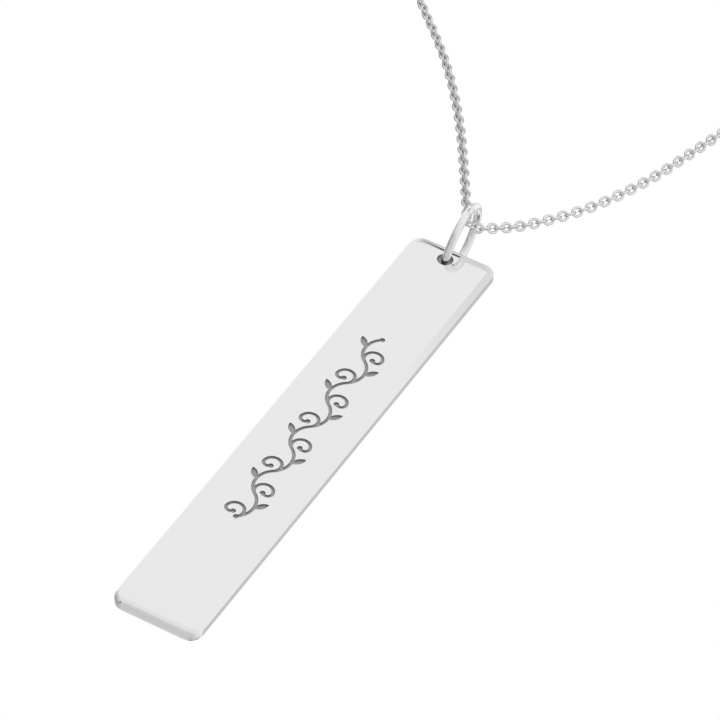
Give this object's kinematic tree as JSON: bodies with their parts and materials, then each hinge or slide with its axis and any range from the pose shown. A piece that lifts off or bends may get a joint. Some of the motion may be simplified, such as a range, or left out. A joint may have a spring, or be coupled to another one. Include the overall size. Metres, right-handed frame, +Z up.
{
  "type": "bar pendant",
  "caption": "Slim upright bar pendant with an engraved vine, hung by a round jump ring from a fine cable chain necklace closed by a plain ring clasp.",
  "frame": {"origin": "the top of the chain's loop, in the middle of the clasp, where the back of the neck carries the necklace", "axes": "+Z up along the hanging bar, +X across the bar, and the bar's engraved front faces -Y"},
  "size_m": [0.1032, 0.0072, 0.2446],
  "materials": {
    "polished_silver": "mirror polished, with a dark matte engraving",
    "silver_wire": "polished",
    "silver_chain": "polished"
  },
  "bodies": {
    "chain": {"chain_left": "silver_chain", "chain_right": "silver_chain", "clasp": "silver_wire"},
    "ring": {"jump_ring": "silver_wire"},
    "bar": {"bar": "polished_silver"}
  },
  "joints": [
    {"name": "ring_swing", "type": "hinge", "parent": "chain", "child": "ring", "pos_m": [0, 0, -0.18815], "axis": [0.9962, 0.0872, 0], "range_deg": [-60, 60]},
    {"name": "bar_swing", "type": "hinge", "parent": "ring", "child": "bar", "pos_m": [0, 0, -0.19362], "axis": [-0.0872, 0.9962, 0], "range_deg": [-60, 60]}
  ]
}
